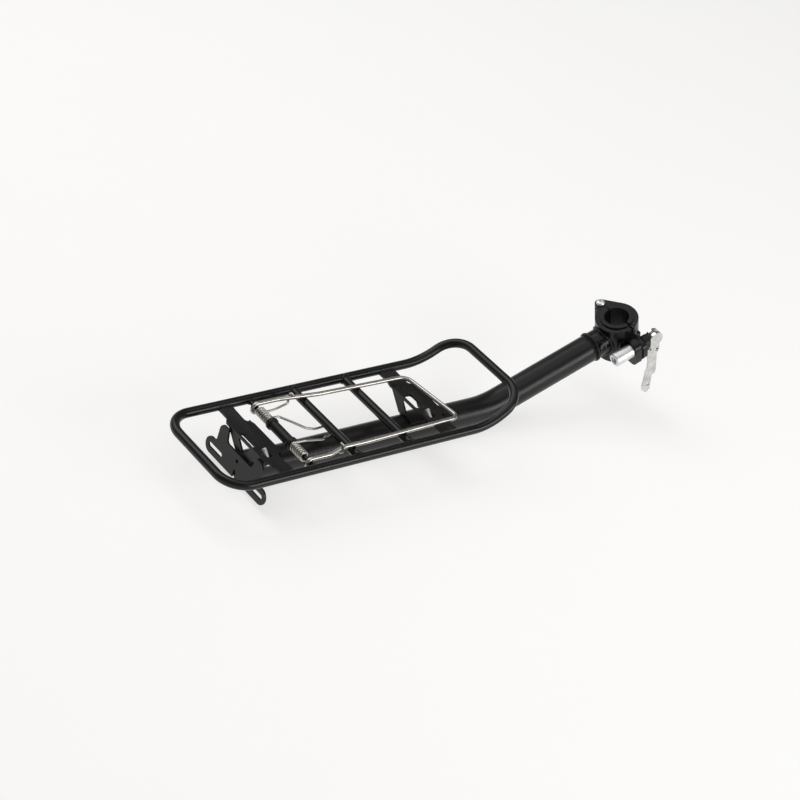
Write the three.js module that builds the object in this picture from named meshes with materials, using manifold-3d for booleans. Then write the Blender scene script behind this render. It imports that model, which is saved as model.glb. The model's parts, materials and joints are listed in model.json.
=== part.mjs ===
// Rear rack that clamps to a 27.2 mm seatpost with a quick release.
// Millimetres: X forward, Y to the rider's left, Z up. The origin is the middle of the seatpost bore.
// The platform is drawn from its rear bar (x = 0, rails in the plane z = 0) and then shifted as one group.
import * as THREE from "three";
import { mergeVertices } from "three/addons/utils/BufferGeometryUtils.js";
import Module from "manifold-3d";

const wasm = await Module();
wasm.setup();

// ---- driving dimensions: general ----
const GAP = 0.3; // clearance between neighbouring pieces
const BEND_STEP = THREE.MathUtils.degToRad(15); // one facet of a bend
const ROD_SIDES = 16;
const WIRE_SIDES = 10;

// ---- platform ----
const ROD_RADIUS = 5;
const RAIL_Y = 61.1; // a rail's centre-line from the middle
const REAR_CORNER = 27;
const HOOP_START = 323; // where the rails begin to climb
const HOOP_ANGLE = THREE.MathUtils.degToRad(32.7);
const HOOP_BAR_X = 364.9;
const HOOP_NARROWING = 2.9; // each side, from the rails to the hoop bar
const HOOP_BEND = 70;
const HOOP_CORNER = 28;
const CROSSBAR_RADIUS = 4.7;
const CROSSBAR_REAR_X = 154.6;
const CROSSBAR_FRONT_X = 220.5;
const RAIL_INNER = RAIL_Y - ROD_RADIUS - GAP;

// ---- beam ----
const BEAM_RADIUS = 15.3;
const BEAM_WALL = 2;
const BEAM_Z = -32.8;
const BEAM_REAR_X = 56.5;
const BEAM_BEND = 95;
const BEAM_SIDES = 32;
const INCLINE = THREE.MathUtils.degToRad(21.2);
const INCLINE_ZERO_X = 462.45; // where the climbing axis meets the rails' plane
const BORE_REACH = 91.9; // from there along the climb to the seatpost's axis

// ---- spring clip ----
const AXLE_X = 100;
const AXLE_RADIUS = 2.5;
const CLIP_RADIUS = 2.35;
const CLIP_EYE = 5.25; // an eye's centre-line radius round the axle
const CLIP_REST_Z = CROSSBAR_RADIUS + CLIP_RADIUS + 0.1;
const EYE_LEFT_Y = 45.3;
const EYE_RIGHT_Y = -51.6;
const SPRING_WIRE = 1.25;
const SPRING_RADIUS = 4.2; // a coil's centre-line radius
const SPRING_TURNS = 6.5;
const COIL_INNER_Y = 21.4;
const COIL_OUTER_Y = 40.6;
const SLEEVE_END_Y = 19.4;

// ---- brackets ----
const SHEET = 2.5;
const FOOT_HALF = 8.5; // half width of a V leg's foot on the beam
const LEG_TOP_HALF = 30;
const HOLE_TOP_HALF = 11.5;
const HOLE_TIP_Z = -13.6;
const SADDLE_WALL = 2;
const SADDLE_HALF_ANGLE = THREE.MathUtils.degToRad(38);
const SLOT_HALF = 12;
const BRACKETS = {
  rear: { railRear: 60.4, railFront: 76.4, midRear: 55.5, midFront: 81.8, slotRear: 57.5, slotFront: 60.9 },
  front: { railRear: 264.2, railFront: 284.4, midRear: 262, midFront: 290, slotRear: 264, slotFront: 273.5 },
};

// ---- reflector plate ----
const PLATE_SHEET = 2;
const PLATE_TOP_X = 53.2; // rear face at the rails' plane
const PLATE_TILT = Math.atan(0.07);
const EAR_Y = 44.1;
const EAR_Z = -33.4;
const EAR_RADIUS = 9;

// ---- seatpost clamp: local X along the climbing beam, local Z along the bore ----
const SEATPOST_RADIUS = 13.6;
const LINER_RADIUS = 17.3;
const COLLAR_RADIUS = 24;
const COLLAR_TOP = 21.5;
const COLLAR_BOTTOM = -24;
const RIM_RADIUS = 18.4;
const RIM_TOP = 23.4;
const SPLIT_REAR = 1; // the fixed half ends here
const SPLIT_FRONT = 3.2; // the jaw begins here on the skewer's side
const SPLIT_HINGE = 1.6; // and here on the hinge's side
const HINGE_X = 1;
const HINGE_Y = 29;
const KNUCKLE_RADIUS = 6.5;
const KNUCKLE_HALF = 10.6; // half height of the fixed half's knuckle, between the jaw's two
const SKEWER_Y = -32.4;
const SKEWER_RADIUS = 2.9;
const EAR_OUTER_Y = -42;
const EAR_CORNER = 8.5;
const FIXED_EAR = { x: [-6.9, 1], z: [-19.5, 11] };
const MOVING_EAR = { x: [3.6, 9.2], z: [-17.5, 6.5] };
const BEAM_END_X = -37.5; // the beam's end in the clamp's frame
const NUT_RADIUS = 7.8;
const NUT = [-31, -7.3];
const CAM_RADIUS = 9.5;
const CAM_X = 24.8;
const CAM_THROW = 1.5; // the pin is off the cam's centre by this, which makes the lift
const PIN_X = CAM_X + CAM_THROW;
const PIN_RADIUS = 3;
const LEVER_WIDTH = 8.4;
const LEVER_FORK = 3.8;
const LEVER_TRAVEL = THREE.MathUtils.degToRad(150);
const JAW_RATIO = 0.014; // the jaw's turn for each unit of the lever's

// ---- finishes ----
const finish = (color, roughness, metalness) => ({ color, roughness, metalness });
const BLACK_ROD = finish(0x1b1a19, 0.42, 0.25);
const BLACK_TUBE = finish(0x1f1e1c, 0.5, 0.3);
const BLACK_SHEET = finish(0x1d1c1a, 0.5, 0.25);
const BLACK_CAST = finish(0x161515, 0.55, 0.2);
const BLACK_PLASTIC = finish(0x141414, 0.6, 0);
const STAINLESS = finish(0xb4afa6, 0.28, 1);
const ZINC = finish(0xb9b9b6, 0.4, 1);
const CHROME = finish(0xd2d2d0, 0.15, 1);

// ---- solids ----
function solidOf(geometry) {
  const bare = geometry.clone();
  bare.deleteAttribute("normal");
  bare.deleteAttribute("uv");
  const merged = mergeVertices(bare, 1e-3);
  return new wasm.Manifold(
    new wasm.Mesh({
      numProp: 3,
      vertProperties: merged.attributes.position.array,
      triVerts: new Uint32Array(merged.index.array),
    }),
  );
}

function geometryOf(solid) {
  const mesh = solid.getMesh();
  const geometry = new THREE.BufferGeometry();
  geometry.setAttribute("position", new THREE.BufferAttribute(mesh.vertProperties, 3));
  geometry.setIndex(new THREE.BufferAttribute(mesh.triVerts, 1));
  geometry.computeVertexNormals();
  return geometry;
}

const join = (...solids) => solids.reduce((all, next) => all.add(next));
const cut = (solid, ...tools) => tools.reduce((left, tool) => left.subtract(tool), solid);

function piece(group, name, solid, look) {
  const mesh = new THREE.Mesh(geometryOf(solid), new THREE.MeshStandardMaterial(look));
  mesh.name = name;
  group.add(mesh);
}

// Bars and blocks along one axis, from a to b, centred at the other two coordinates.
const TURN = {
  x: new THREE.Matrix4().makeRotationZ(-Math.PI / 2),
  y: new THREE.Matrix4(),
  z: new THREE.Matrix4().makeRotationX(Math.PI / 2),
};

function bar(axis, from, to, centre, radius, sides = 24, endRadius = radius) {
  const geometry = new THREE.CylinderGeometry(endRadius, radius, to - from, sides);
  geometry.applyMatrix4(TURN[axis]);
  const middle = new THREE.Vector3(...centre);
  middle[axis] = (from + to) / 2;
  geometry.translate(middle.x, middle.y, middle.z);
  return solidOf(geometry);
}

function block(x, y, z) {
  const geometry = new THREE.BoxGeometry(x[1] - x[0], y[1] - y[0], z[1] - z[0]);
  geometry.translate((x[0] + x[1]) / 2, (y[0] + y[1]) / 2, (z[0] + z[1]) / 2);
  return solidOf(geometry);
}

// An outline extruded along one axis: the outline lies in YZ for x, XZ for y and XY for z.
const OUTLINE_BASIS = {
  x: new THREE.Matrix4().makeBasis(
    new THREE.Vector3(0, 1, 0),
    new THREE.Vector3(0, 0, 1),
    new THREE.Vector3(1, 0, 0),
  ),
  y: new THREE.Matrix4().makeBasis(
    new THREE.Vector3(1, 0, 0),
    new THREE.Vector3(0, 0, 1),
    new THREE.Vector3(0, -1, 0),
  ),
  z: new THREE.Matrix4(),
};

function slab(axis, shape, from, to, curveSegments = 2) {
  const geometry = new THREE.ExtrudeGeometry(shape, { depth: to - from, bevelEnabled: false, curveSegments });
  geometry.translate(0, 0, axis === "y" ? -to : from);
  geometry.applyMatrix4(OUTLINE_BASIS[axis]);
  return solidOf(geometry);
}

// A closed outline whose corners may be rounded: [u, v] or [u, v, radius].
function outline(corners) {
  const shape = new THREE.Shape();
  const count = corners.length;
  corners.forEach(([u, v, radius = 0], i) => {
    const here = new THREE.Vector2(u, v);
    const before = new THREE.Vector2(...corners[(i + count - 1) % count].slice(0, 2)).sub(here).normalize();
    const after = new THREE.Vector2(...corners[(i + 1) % count].slice(0, 2)).sub(here).normalize();
    const half = Math.acos(THREE.MathUtils.clamp(before.dot(after), -1, 1)) / 2;
    const trim = radius / Math.tan(half);
    const enter = here.clone().addScaledVector(before, trim);
    if (i === 0) shape.moveTo(enter.x, enter.y);
    else shape.lineTo(enter.x, enter.y);
    if (radius > 0) {
      const inward = before.clone().add(after).normalize();
      const centre = here.clone().addScaledVector(inward, radius / Math.sin(half));
      const leave = here.clone().addScaledVector(after, trim);
      const start = Math.atan2(enter.y - centre.y, enter.x - centre.x);
      const end = Math.atan2(leave.y - centre.y, leave.x - centre.x);
      const clockwise = before.cross(after) > 0;
      shape.absarc(centre.x, centre.y, radius, start, end, clockwise);
    }
  });
  shape.closePath();
  return shape;
}

// A slot with round ends, from a to b in u.
function slot(a, b, v, radius) {
  const shape = new THREE.Shape();
  shape.absarc(b - radius, v, radius, -Math.PI / 2, Math.PI / 2, false);
  shape.absarc(a + radius, v, radius, Math.PI / 2, (3 * Math.PI) / 2, false);
  shape.closePath();
  return shape;
}

// ---- rods and wires: a round section carried through stations of { point, tangent } ----
class StationPath extends THREE.Curve {
  constructor(stations) {
    super();
    this.stations = stations;
  }

  at(u) {
    return this.stations[Math.round(u * (this.stations.length - 1))];
  }

  getPointAt(u) {
    return this.at(u).point.clone();
  }

  getTangentAt(u) {
    return this.at(u).tangent.clone();
  }
}

// Straight stretches between corners [x, y, z, bend radius].
function bends(corners) {
  const points = corners.map(([x, y, z]) => new THREE.Vector3(x, y, z));
  const first = points[1].clone().sub(points[0]).normalize();
  const stations = [{ point: points[0], tangent: first }];
  for (let i = 1; i < points.length - 1; i += 1) {
    const back = points[i - 1].clone().sub(points[i]).normalize();
    const ahead = points[i + 1].clone().sub(points[i]).normalize();
    const turn = Math.PI - back.angleTo(ahead);
    const radius = corners[i][3] ?? 0;
    const toCentre = back.clone().add(ahead).normalize();
    const centre = points[i].clone().addScaledVector(toCentre, radius / Math.cos(turn / 2));
    const start = points[i].clone().addScaledVector(back, radius * Math.tan(turn / 2)).sub(centre);
    const forward = back.clone().negate();
    const steps = Math.max(1, Math.ceil(turn / BEND_STEP));
    for (let k = 0; k <= steps; k += 1) {
      const angle = (turn * k) / steps;
      stations.push({
        point: centre
          .clone()
          .addScaledVector(start, Math.cos(angle))
          .addScaledVector(forward, radius * Math.sin(angle)),
        tangent: forward
          .clone()
          .multiplyScalar(Math.cos(angle))
          .addScaledVector(start, -Math.sin(angle) / radius),
      });
    }
  }
  const last = points[points.length - 1];
  stations.push({ point: last, tangent: last.clone().sub(points[points.length - 2]).normalize() });
  return stations;
}

const circle = (radius, sides) =>
  new THREE.Shape(
    Array.from({ length: sides }, (_, i) => {
      const angle = (2 * Math.PI * i) / sides;
      return new THREE.Vector2(radius * Math.cos(angle), radius * Math.sin(angle));
    }),
  );

function rod(stations, radius, sides) {
  const geometry = new THREE.ExtrudeGeometry(circle(radius, sides), {
    steps: stations.length - 1,
    extrudePath: new StationPath(stations),
    bevelEnabled: false,
  });
  return solidOf(geometry);
}

// ---- platform ----
// Half of the loop: from the middle of the rear bar round to the middle of the hoop bar, a little past both.
function loopHalf(side) {
  const hoopZ = (HOOP_BAR_X - HOOP_START) * Math.tan(HOOP_ANGLE);
  const past = -side;
  return rod(
    bends([
      [0, past, 0],
      [0, side * RAIL_Y, 0, REAR_CORNER],
      [HOOP_START, side * RAIL_Y, 0, HOOP_BEND],
      [HOOP_BAR_X, side * (RAIL_Y - HOOP_NARROWING), hoopZ, HOOP_CORNER],
      [HOOP_BAR_X, past, hoopZ],
    ]),
    ROD_RADIUS,
    ROD_SIDES,
  );
}

function makePlatform(group) {
  piece(group, "platform_loop", join(loopHalf(1), loopHalf(-1)), BLACK_ROD);
  const crossbars = { crossbar_rear: CROSSBAR_REAR_X, crossbar_front: CROSSBAR_FRONT_X };
  for (const [name, x] of Object.entries(crossbars)) {
    piece(group, name, bar("y", -RAIL_INNER, RAIL_INNER, [x, 0, 0], CROSSBAR_RADIUS, ROD_SIDES), BLACK_ROD);
  }
}

// ---- brackets: a plate between the rails on two V-shaped flanges that stand on the beam ----
function bracketPlan({ railRear, railFront, midRear, midFront }) {
  const half = [
    [midRear, 34, 3],
    [railRear, 41, 3],
    [railRear, RAIL_INNER],
    [railFront, RAIL_INNER],
    [railFront - 1.2, 30, 5],
    [midFront, 24, 5],
  ];
  const other = half
    .slice()
    .reverse()
    .map(([x, y, ...rest]) => [x, -y, ...rest]);
  return outline([...half, ...other]);
}

function makeBracket(group, end) {
  const size = BRACKETS[end];
  const plate = slab("z", bracketPlan(size), -SHEET / 2, SHEET / 2);
  const slotWidth = size.slotFront - size.slotRear;
  const slotMiddle = (size.slotFront + size.slotRear) / 2;
  const opening = outline([
    [slotMiddle - slotWidth / 2, -SLOT_HALF, slotWidth * 0.3],
    [slotMiddle + slotWidth / 2, -SLOT_HALF, slotWidth * 0.3],
    [slotMiddle + slotWidth / 2, SLOT_HALF, slotWidth * 0.3],
    [slotMiddle - slotWidth / 2, SLOT_HALF, slotWidth * 0.3],
  ]);
  const bolt = boltPlace(size);
  const window = outline([
    [bolt.x - 3.3, bolt.y - 7.5, 2.5],
    [bolt.x + 3.3, bolt.y - 7.5, 2.5],
    [bolt.x + 3.3, bolt.y + 6, 2.5],
    [bolt.x - 3.3, bolt.y + 6, 2.5],
  ]);
  const feet = outline([
    [-LEG_TOP_HALF, 0],
    [-FOOT_HALF, -20.5],
    [FOOT_HALF, -20.5],
    [LEG_TOP_HALF, 0],
  ]);
  const hole = outline([
    [-HOLE_TOP_HALF, -SHEET / 2 - 0.4, 1.2],
    [0, HOLE_TIP_Z, 2],
    [HOLE_TOP_HALF, -SHEET / 2 - 0.4, 1.2],
  ]);
  const overSaddle = BEAM_RADIUS + SADDLE_WALL + 2 * GAP;
  const flanges = [
    [size.midRear, size.midRear + 2],
    [size.midFront - 2, size.midFront],
  ].map(([from, to]) =>
    cut(
      slab("x", feet, from, to),
      slab("x", hole, from - 1, to + 1),
      bar("x", from - 1, to + 1, [0, 0, BEAM_Z], overSaddle, BEAM_SIDES),
    ),
  );
  const solid = cut(
    join(plate, ...flanges),
    slab("z", opening, -SHEET, SHEET),
    slab("z", window, -SHEET, SHEET),
  );
  piece(group, `${end}_bracket`, solid, BLACK_SHEET);
  makeSaddle(group, end, size);
  makeBracketBolt(group, end, size);
}

// The saddle is a curved plate on top of the beam, under both V feet.
function makeSaddle(group, end, { midRear, midFront }) {
  const inner = BEAM_RADIUS + GAP;
  const outer = inner + SADDLE_WALL;
  const up = Math.PI / 2;
  const shape = new THREE.Shape();
  shape.absarc(0, BEAM_Z, outer, up - SADDLE_HALF_ANGLE, up + SADDLE_HALF_ANGLE, false);
  shape.absarc(0, BEAM_Z, inner, up + SADDLE_HALF_ANGLE, up - SADDLE_HALF_ANGLE, true);
  shape.closePath();
  piece(group, `${end}_saddle`, slab("x", shape, midRear + 1, midFront - 1, 6), BLACK_SHEET);
}

// A zinc-plated bolt leans through a window beside the slot, square to the beam's upper right flank.
const BOLT_TILT = THREE.MathUtils.degToRad(37);
const boltPlace = ({ midRear }) => ({ x: midRear + 9.5, y: -23.1 });

function makeBracketBolt(group, end, size) {
  const place = boltPlace(size);
  const shank = bar("y", -9, 5.6, [0, 0, 0], 2.5, 16);
  const head = bar("y", -12, -8.9, [0, 0, 0], 4.2, 6);
  const turn = new THREE.Matrix4().makeRotationX(BOLT_TILT);
  turn.setPosition(place.x, place.y, 0.2);
  piece(group, `${end}_bracket_bolt`, join(shank, head).transform(turn.toArray()), ZINC);
}

// ---- beam ----
function makeBeam(group) {
  const reach = BORE_REACH + BEAM_END_X;
  const bendX = INCLINE_ZERO_X + BEAM_Z / Math.tan(INCLINE);
  const end = [INCLINE_ZERO_X + reach * Math.cos(INCLINE), 0, reach * Math.sin(INCLINE)];
  const axis = bends([[BEAM_REAR_X, 0, BEAM_Z], [bendX, 0, BEAM_Z, BEAM_BEND], end]);
  const ring = circle(BEAM_RADIUS, BEAM_SIDES);
  ring.holes.push(new THREE.Path(circle(BEAM_RADIUS - BEAM_WALL, BEAM_SIDES).getPoints().reverse()));
  const tube = new THREE.ExtrudeGeometry(ring, {
    steps: axis.length - 1,
    extrudePath: new StationPath(axis),
    bevelEnabled: false,
  });
  piece(group, "beam_tube", solidOf(tube), BLACK_TUBE);
  const bore = BEAM_RADIUS - BEAM_WALL - GAP;
  const plug = bar("x", BEAM_REAR_X + 1.5, BEAM_REAR_X + 11, [0, 0, BEAM_Z], bore, BEAM_SIDES, bore - 0.8);
  const dish = bar("x", BEAM_REAR_X, BEAM_REAR_X + 4, [0, 0, BEAM_Z], bore - 3, 24);
  piece(group, "beam_plug", cut(plug, dish), BLACK_PLASTIC);
}

// ---- reflector plate ----
function makeReflectorPlate(group) {
  const bottom = EAR_Z - EAR_RADIUS;
  const half = [
    [2, bottom],
    [EAR_Y + EAR_RADIUS, bottom, EAR_RADIUS - 0.2],
    [EAR_Y + EAR_RADIUS, EAR_Z + EAR_RADIUS, EAR_RADIUS - 0.2],
    [38, EAR_Z + EAR_RADIUS, 4],
    [38, -1.6, 7],
    [24.5, -1.6, 2],
    [22, -15.4, 4],
  ];
  const other = half.map(([y, ...rest]) => [-y, ...rest]).reverse();
  const body = slab("x", outline([...half, ...other]), 0, PLATE_SHEET, 3);
  const notch = join(
    block([-1, 3], [-2, 2], [bottom - 1, bottom + 7.4]),
    bar("x", -1, 3, [0, 0, bottom + 7.4], 2, 16),
  );
  const lampHole = bar("x", -1, 3, [0, 0.6, -23.1], 2, 16);
  const slots = [1, -1].map((side) => {
    const [a, b] = side > 0 ? [24, 48] : [-48, -24];
    return slab("x", slot(a, b, EAR_Z, 2.6), -1, PLATE_SHEET + 1, 5);
  });
  const tilt = new THREE.Matrix4().makeRotationY(PLATE_TILT);
  tilt.setPosition(PLATE_TOP_X, 0, 0);
  const plate = cut(body, notch, lampHole, ...slots);
  piece(group, "reflector_plate", plate.transform(tilt.toArray()), BLACK_SHEET);
}

// ---- spring clip ----
function makeAxle(group) {
  const centre = [AXLE_X, 0, 0];
  piece(group, "clip_axle", bar("y", -RAIL_INNER, RAIL_INNER, centre, AXLE_RADIUS, ROD_SIDES), BLACK_ROD);
  const sleeve = join(
    bar("y", -SLEEVE_END_Y, SLEEVE_END_Y, centre, 5.5, 20),
    bar("y", -SLEEVE_END_Y, -SLEEVE_END_Y + 4.5, centre, 6.7, 20),
    bar("y", SLEEVE_END_Y - 4.5, SLEEVE_END_Y, centre, 6.7, 20),
  );
  const bore = bar("y", -SLEEVE_END_Y - 1, SLEEVE_END_Y + 1, centre, AXLE_RADIUS + GAP, 16);
  piece(group, "clip_sleeve", cut(sleeve, bore), BLACK_PLASTIC);
}

// The wire's path on one side, from the cut end under the axle, round it and forward to the front bar.
function clipArm(eyeY, bendY, crossY, frontX, frontY, corner) {
  const turns = 8;
  const eye = Array.from({ length: turns + 1 }, (_, i) => {
    const angle = (Math.PI * i) / turns;
    return {
      point: new THREE.Vector3(
        AXLE_X - CLIP_EYE * Math.sin(angle),
        eyeY,
        -CLIP_EYE * Math.cos(angle),
      ),
      tangent: new THREE.Vector3(-Math.cos(angle), 0, Math.sin(angle)),
    };
  });
  const tail = {
    point: new THREE.Vector3(AXLE_X + 6, eyeY, -CLIP_EYE),
    tangent: new THREE.Vector3(-1, 0, 0),
  };
  const arm = bends([
    [AXLE_X, eyeY, CLIP_EYE],
    [AXLE_X + 23, eyeY, CLIP_EYE, 14],
    [AXLE_X + 40, bendY, CLIP_REST_Z, 20],
    [CROSSBAR_REAR_X + 16, crossY, CLIP_REST_Z, 60],
    [frontX, frontY, CLIP_REST_Z, corner],
    [(FRONT_LEFT[0] + FRONT_RIGHT[0]) / 2, (FRONT_LEFT[1] + FRONT_RIGHT[1]) / 2, CLIP_REST_Z],
  ]);
  return [tail, ...eye, ...arm.slice(1)];
}

const FRONT_LEFT = [281.4, 33.7];
const FRONT_RIGHT = [291.6, -45.2];

function makeClip(group) {
  const left = clipArm(EYE_LEFT_Y, 41, 37.3, ...FRONT_LEFT, 12);
  const right = clipArm(EYE_RIGHT_Y, -47.8, -48.2, ...FRONT_RIGHT, 7);
  const back = right
    .slice(0, -1)
    .reverse()
    .map(({ point, tangent }) => ({ point, tangent: tangent.clone().negate() }));
  piece(group, "clip_wire", rod([...left.slice(0, -1), ...back], CLIP_RADIUS, WIRE_SIDES), STAINLESS);
}

// A torsion spring: leg under the rear crossbar, turns round the axle, leg under the arm and over it.
function springPath(side, innerLeg, armY) {
  const count = Math.round(SPRING_TURNS * 12);
  const pitch = (COIL_OUTER_Y - COIL_INNER_Y) / SPRING_TURNS;
  const coil = Array.from({ length: count + 1 }, (_, i) => {
    const turn = (SPRING_TURNS * i) / count;
    const angle = Math.PI + 2 * Math.PI * turn;
    return {
      point: new THREE.Vector3(
        AXLE_X + SPRING_RADIUS * Math.sin(angle),
        side * (COIL_INNER_Y + pitch * turn),
        -SPRING_RADIUS * Math.cos(angle),
      ),
      tangent: new THREE.Vector3(
        Math.cos(angle),
        (side * pitch) / (2 * Math.PI * SPRING_RADIUS),
        Math.sin(angle),
      ).normalize(),
    };
  });
  const wrap = CLIP_RADIUS + SPRING_WIRE + GAP;
  const hookX = AXLE_X + 38;
  const under = CLIP_REST_Z - wrap;
  const over = CLIP_REST_Z + wrap;
  const inward = bends([...innerLeg, [AXLE_X, side * COIL_INNER_Y, SPRING_RADIUS]]);
  const outward = bends([
    [AXLE_X, side * COIL_OUTER_Y, -SPRING_RADIUS],
    [AXLE_X + 20, side * (COIL_OUTER_Y + 1), -SPRING_RADIUS, 12],
    [hookX - 4, armY - side * 2.4, under - 0.6, 4],
    [hookX, armY + side * wrap, under, 2.6],
    [hookX + 1, armY + side * wrap, over, 2.6],
    [hookX + 1, armY - side * (wrap - 0.6), over],
  ]);
  return [...inward.slice(0, -1), ...coil, ...outward.slice(1)];
}

function makeSprings(group) {
  const tipZ = -CROSSBAR_RADIUS - SPRING_WIRE - GAP;
  const tipX = CROSSBAR_REAR_X + 3;
  const leftLeg = [
    [tipX, 2.5, tipZ],
    [AXLE_X + 44, 1.8, tipZ, 10],
    [AXLE_X + 34, 4, tipZ + 1.8, 10],
    [AXLE_X + 21, 12.5, 0.6, 14],
    [AXLE_X + 10, COIL_INNER_Y, 3.6, 6],
  ];
  const rightLeg = [
    [tipX, -9, tipZ],
    [AXLE_X + 47, -13, tipZ, 6],
    [AXLE_X + 38, -20, tipZ + 4, 8],
    [AXLE_X + 14, -COIL_INNER_Y, 3.2, 20],
  ];
  const left = rod(springPath(1, leftLeg, 41.4), SPRING_WIRE, 7);
  const right = rod(springPath(-1, rightLeg, -47.9), SPRING_WIRE, 7);
  piece(group, "clip_spring_left", left, STAINLESS);
  piece(group, "clip_spring_right", right, STAINLESS);
}

// ---- seatpost clamp ----
const ringOf = (outer, inner, bottom, top, sides = 48) =>
  cut(
    bar("z", bottom, top, [0, 0, 0], outer, sides),
    bar("z", bottom - 1, top + 1, [0, 0, 0], inner, sides),
  );

const FAR = 80; // larger than the clamp in every direction
const rearOf = (x) => block([-FAR, x], [-FAR, FAR], [-FAR, FAR]);
const frontOf = (x) => block([x, FAR], [-FAR, FAR], [-FAR, FAR]);

// The socket screw stands square to the beam on its right flank, just above the middle.
const SCREW_X = -32;
const SCREW_SHANK_RADIUS = 2.5;
const SCREW_ANGLE = THREE.MathUtils.degToRad(-26);

function screwSolid(radius, from, to) {
  const turn = new THREE.Matrix4().makeRotationX(SCREW_ANGLE);
  return bar("y", from, to, [SCREW_X, 0, 0], radius, 20).transform(turn.toArray());
}

function earSolid({ x, z }) {
  const shape = outline([
    [EAR_OUTER_Y, z[0], EAR_CORNER],
    [-14, z[0]],
    [-14, z[1]],
    [EAR_OUTER_Y, z[1], EAR_CORNER],
  ]);
  return slab("x", shape, ...x, 4);
}

function makeClampBody(group) {
  const bore = LINER_RADIUS + GAP;
  const ring = ringOf(COLLAR_RADIUS, bore, COLLAR_BOTTOM, COLLAR_TOP).intersect(rearOf(SPLIT_REAR));
  const knuckle = join(
    bar("z", -KNUCKLE_HALF, KNUCKLE_HALF, [HINGE_X, HINGE_Y, 0], KNUCKLE_RADIUS),
    block([-9, HINGE_X - 0.5], [18, HINGE_Y - 2], [COLLAR_BOTTOM, COLLAR_TOP]),
  );
  const ear = join(
    earSolid(FIXED_EAR),
    block([-15, 0], [-24.2, -12], [FIXED_EAR.z[0] + 1, FIXED_EAR.z[1] - 1]),
  );
  const root = bar("x", BEAM_END_X + GAP, -12, [0, 0, 0], BEAM_RADIUS, BEAM_SIDES);
  const spigotRadius = BEAM_RADIUS - BEAM_WALL - GAP;
  const spigotEnd = BEAM_END_X - 24;
  const spigot = bar("x", spigotEnd, BEAM_END_X + 2, [0, 0, 0], spigotRadius, BEAM_SIDES);
  const clearJaw = KNUCKLE_RADIUS + 0.5;
  const solid = cut(
    join(ring, knuckle, ear, root, spigot),
    bar("z", KNUCKLE_HALF, FAR, [HINGE_X, HINGE_Y, 0], clearJaw),
    bar("z", -FAR, -KNUCKLE_HALF, [HINGE_X, HINGE_Y, 0], clearJaw),
    block([SPLIT_REAR, FAR], [-FAR, HINGE_Y - 3], [-FAR, FAR]),
    bar("z", -FAR, FAR, [0, 0, 0], bore, 48),
    bar("z", -FAR, FAR, [HINGE_X, HINGE_Y, 0], 3 + GAP),
    bar("x", -20, 10, [0, SKEWER_Y, 0], SKEWER_RADIUS + 0.5),
    bar("x", spigotEnd - 1, spigotEnd + 8, [0, 0, 0], spigotRadius - 3, 24),
    screwSolid(SCREW_SHANK_RADIUS + GAP, -16, -4),
  );
  piece(group, "clamp_body", solid, BLACK_CAST);
  const head = screwSolid(4.2, -BEAM_RADIUS - 3.2, -BEAM_RADIUS - GAP);
  const recess = screwSolid(2.1, -FAR, -BEAM_RADIUS - 1.6);
  piece(
    group,
    "socket_screw",
    cut(join(head, screwSolid(SCREW_SHANK_RADIUS, -BEAM_RADIUS - 0.5, -5)), recess),
    BLACK_CAST,
  );
}

function makeJaw(group) {
  const bore = LINER_RADIUS + GAP;
  const ring = ringOf(COLLAR_RADIUS, bore, COLLAR_BOTTOM, COLLAR_TOP).intersect(frontOf(SPLIT_HINGE));
  const web = outline([
    [SPLIT_HINGE, 17],
    [SPLIT_HINGE, HINGE_Y],
    [6.3, 32.7],
    [19.6, 13.8],
    [12, 8],
  ]);
  const knuckles = cut(
    join(
      bar("z", COLLAR_BOTTOM, COLLAR_TOP, [HINGE_X, HINGE_Y, 0], KNUCKLE_RADIUS),
      slab("z", web, COLLAR_BOTTOM, COLLAR_TOP),
    ),
    bar("z", -KNUCKLE_HALF - GAP, KNUCKLE_HALF + GAP, [HINGE_X, HINGE_Y, 0], KNUCKLE_RADIUS + 0.5),
  );
  const ear = join(
    earSolid(MOVING_EAR),
    block([MOVING_EAR.x[0], 16], [-21.5, -10], [MOVING_EAR.z[0] + 1, MOVING_EAR.z[1] - 1]),
  );
  const solid = cut(
    join(ring, knuckles, ear),
    bar("z", -FAR, FAR, [0, 0, 0], bore, 48),
    block([-FAR, SPLIT_FRONT], [-FAR, 0], [-FAR, FAR]),
    block([-FAR, SPLIT_HINGE], [-1, HINGE_Y - KNUCKLE_RADIUS - 0.1], [-FAR, FAR]),
    bar("z", -FAR, FAR, [HINGE_X, HINGE_Y, 0], 3 + GAP),
    bar("x", 0, 20, [0, SKEWER_Y, 0], SKEWER_RADIUS + 1.1),
  );
  piece(group, "clamp_jaw", solid, BLACK_CAST);
}

function makeLiners(group) {
  const liner = join(
    ringOf(LINER_RADIUS, SEATPOST_RADIUS, COLLAR_BOTTOM + 1, RIM_TOP),
    ringOf(RIM_RADIUS, SEATPOST_RADIUS, COLLAR_TOP + GAP, RIM_TOP),
  );
  piece(group, "liner_fixed", liner.intersect(rearOf(SPLIT_REAR - 0.3)), BLACK_PLASTIC);
  const front = cut(
    liner.intersect(frontOf(SPLIT_HINGE + 0.1)),
    block([-FAR, SPLIT_FRONT + 0.3], [-FAR, 0], [-FAR, FAR]),
  );
  piece(group, "liner_jaw", front, BLACK_PLASTIC);
}

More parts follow.
